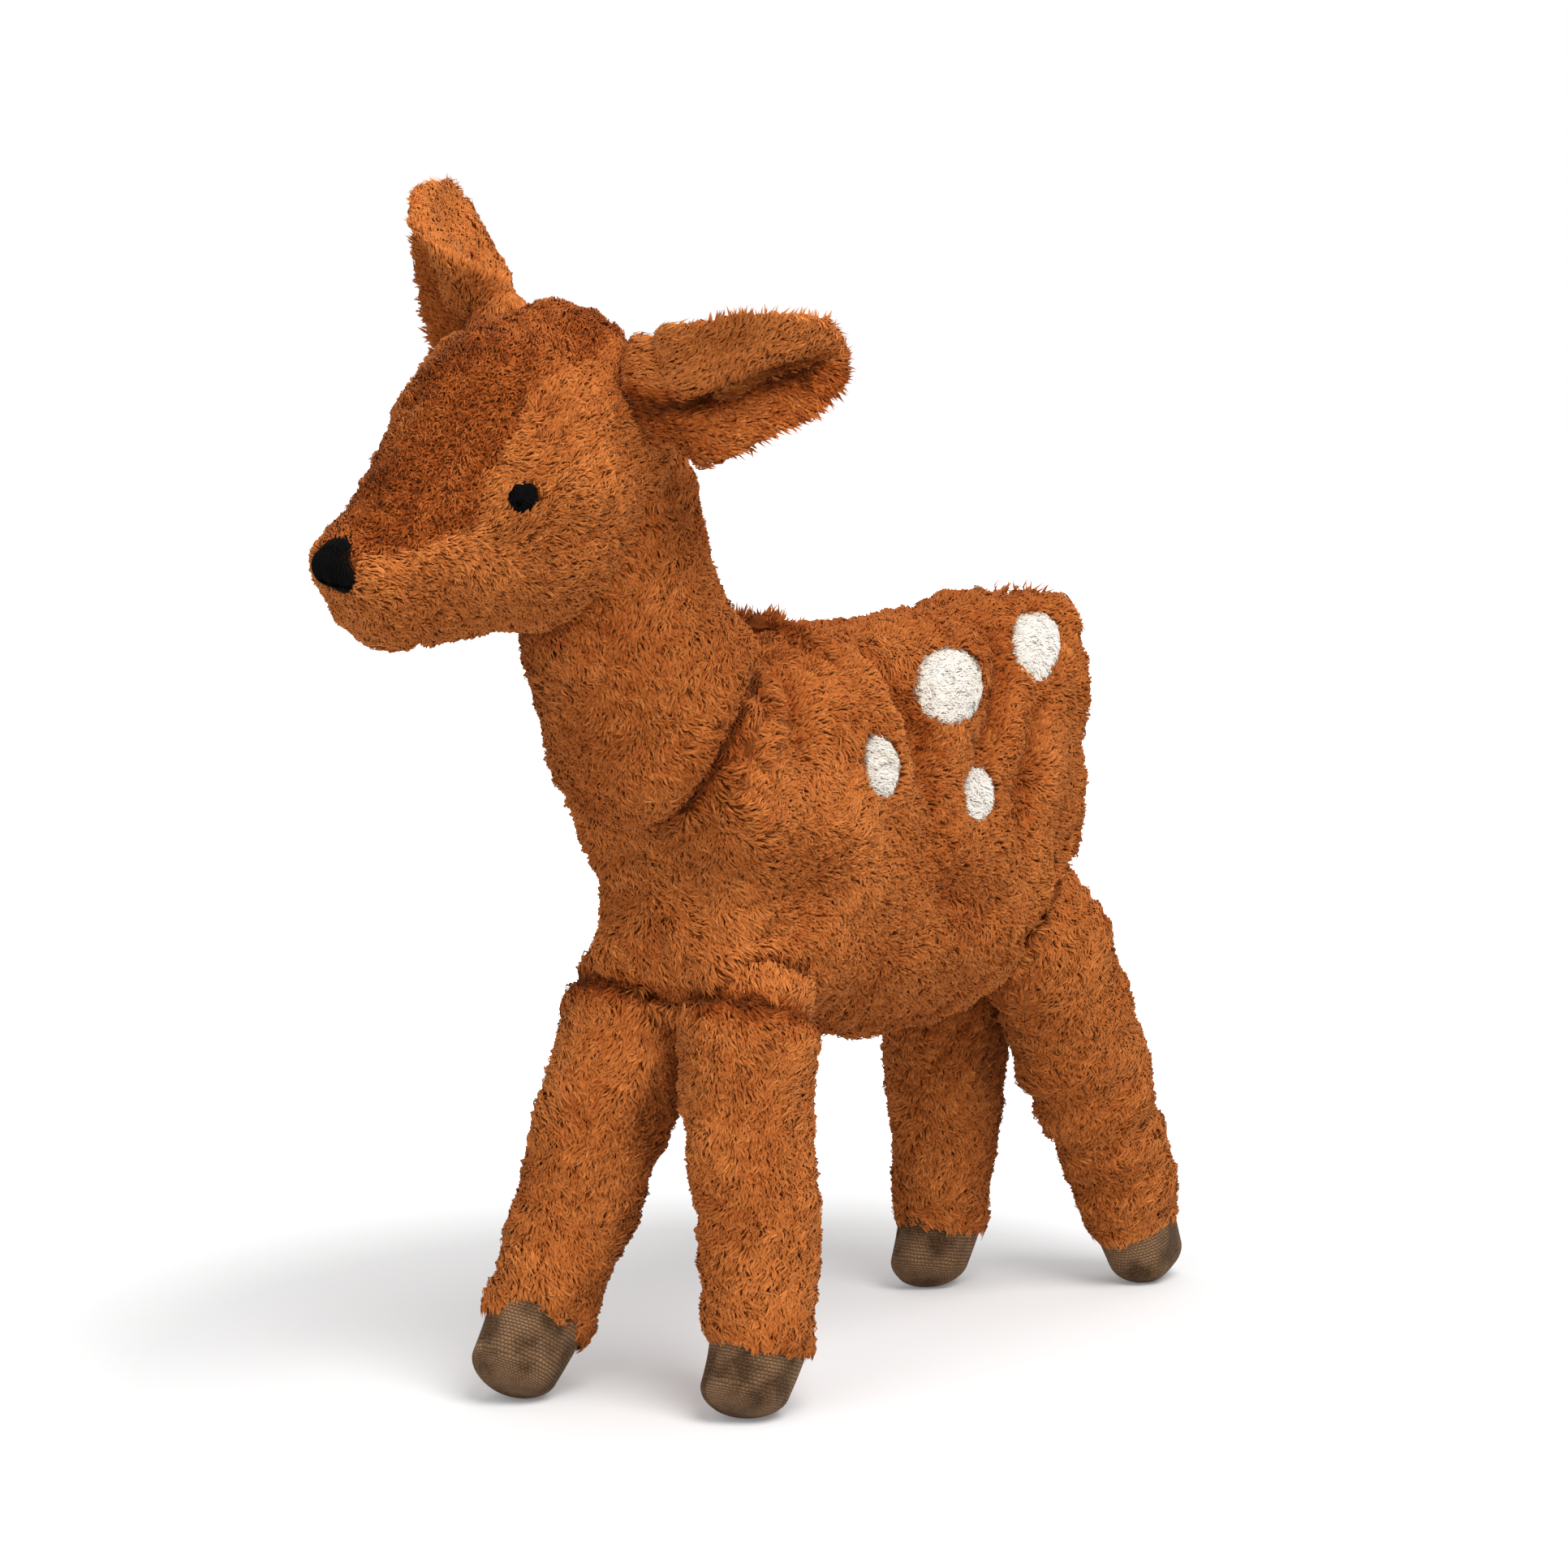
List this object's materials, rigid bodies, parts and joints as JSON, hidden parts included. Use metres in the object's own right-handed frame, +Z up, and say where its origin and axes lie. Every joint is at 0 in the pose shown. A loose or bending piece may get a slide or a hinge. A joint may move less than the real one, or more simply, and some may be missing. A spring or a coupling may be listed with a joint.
{
  "type": "plush fawn",
  "caption": "Standing plush fawn in rust-brown pile with woven cloth hooves, curled ears and embroidered eyes and nose; head, neck, ears, legs and tail give and spring back.",
  "frame": {"origin": "middle of the toy's bounding box, on the surface that the hooves stand on", "axes": "+X is the fawn's left, -Y is forward, +Z is up"},
  "size_m": [0.1754, 0.393, 0.3965],
  "materials": {
    "rust_pile": "long combed pile, rust brown",
    "stuffing": "loose polyester filling, off-white",
    "hoof_cloth": "coarse woven cloth, dark brown",
    "spot_pile": "short pile, off-white",
    "black_thread": "satin-stitched thread, black"
  },
  "bodies": {
    "torso": {"torso_left_panel": "rust_pile", "torso_right_panel": "rust_pile", "torso_stuffing": "stuffing", "spot_large_front_left": "spot_pile", "spot_large_front_right": "spot_pile", "spot_large_rear_left": "spot_pile", "spot_large_rear_right": "spot_pile", "spot_small_front_left": "spot_pile", "spot_small_front_right": "spot_pile", "spot_small_rear_left": "spot_pile", "spot_small_rear_right": "spot_pile"},
    "neck": {"neck_cover": "rust_pile", "neck_stuffing": "stuffing"},
    "head": {"head_left_panel": "rust_pile", "head_right_panel": "rust_pile", "forehead_gusset": "rust_pile", "head_stuffing": "stuffing", "eye_left": "black_thread", "eye_right": "black_thread", "nose": "black_thread"},
    "ear_left": {"ear_left_back": "rust_pile", "ear_left_lining": "rust_pile"},
    "ear_right": {"ear_right_back": "rust_pile", "ear_right_lining": "rust_pile"},
    "front_left_leg": {"front_left_leg_cover": "rust_pile", "front_left_hoof": "hoof_cloth", "front_left_leg_stuffing": "stuffing"},
    "front_right_leg": {"front_right_leg_cover": "rust_pile", "front_right_hoof": "hoof_cloth", "front_right_leg_stuffing": "stuffing"},
    "rear_left_leg": {"rear_left_leg_cover": "rust_pile", "rear_left_hoof": "hoof_cloth", "rear_left_leg_stuffing": "stuffing"},
    "rear_right_leg": {"rear_right_leg_cover": "rust_pile", "rear_right_hoof": "hoof_cloth", "rear_right_leg_stuffing": "stuffing"},
    "tail": {"tail": "rust_pile"}
  },
  "joints": [
    {"name": "neck_nod", "type": "hinge", "parent": "torso", "child": "neck", "pos_m": [-0.00478, -0.06247, 0.226], "axis": [1, 0, 0], "range_deg": [-8, 8], "stiffness_Nm_per_rad": 4},
    {"name": "head_turn", "type": "hinge", "parent": "neck", "child": "head", "pos_m": [-0.00478, -0.09247, 0.294], "axis": [0, -0.2765, 0.961], "range_deg": [-15, 15], "stiffness_Nm_per_rad": 1.5},
    {"name": "ear_left_bend", "type": "hinge", "parent": "head", "child": "ear_left", "pos_m": [0.03282, -0.10633, 0.33404], "axis": [0.0599, 0.2938, -0.954], "range_deg": [-15, 15], "stiffness_Nm_per_rad": 0.15},
    {"name": "ear_right_bend", "type": "hinge", "parent": "head", "child": "ear_right", "pos_m": [-0.04167, -0.10049, 0.3502], "axis": [0.5325, -0.3963, 0.7479], "range_deg": [-15, 15], "stiffness_Nm_per_rad": 0.15},
    {"name": "front_left_hip", "type": "hinge", "parent": "torso", "child": "front_left_leg", "pos_m": [0.01922, -0.04547, 0.126], "axis": [1, 0, 0], "range_deg": [-15, 15], "stiffness_Nm_per_rad": 6},
    {"name": "front_right_hip", "type": "hinge", "parent": "torso", "child": "front_right_leg", "pos_m": [-0.02878, -0.04547, 0.126], "axis": [1, 0, 0], "range_deg": [-15, 15], "stiffness_Nm_per_rad": 6},
    {"name": "rear_left_hip", "type": "hinge", "parent": "torso", "child": "rear_left_leg", "pos_m": [0.01672, 0.12353, 0.133], "axis": [1, 0, 0], "range_deg": [-15, 15], "stiffness_Nm_per_rad": 6},
    {"name": "rear_right_hip", "type": "hinge", "parent": "torso", "child": "rear_right_leg", "pos_m": [-0.02628, 0.12353, 0.133], "axis": [1, 0, 0], "range_deg": [-15, 15], "stiffness_Nm_per_rad": 6},
    {"name": "tail_lift", "type": "hinge", "parent": "torso", "child": "tail", "pos_m": [-0.00478, 0.14354, 0.23422], "axis": [1, 0, 0], "range_deg": [0, 50], "stiffness_Nm_per_rad": 0.02}
  ]
}
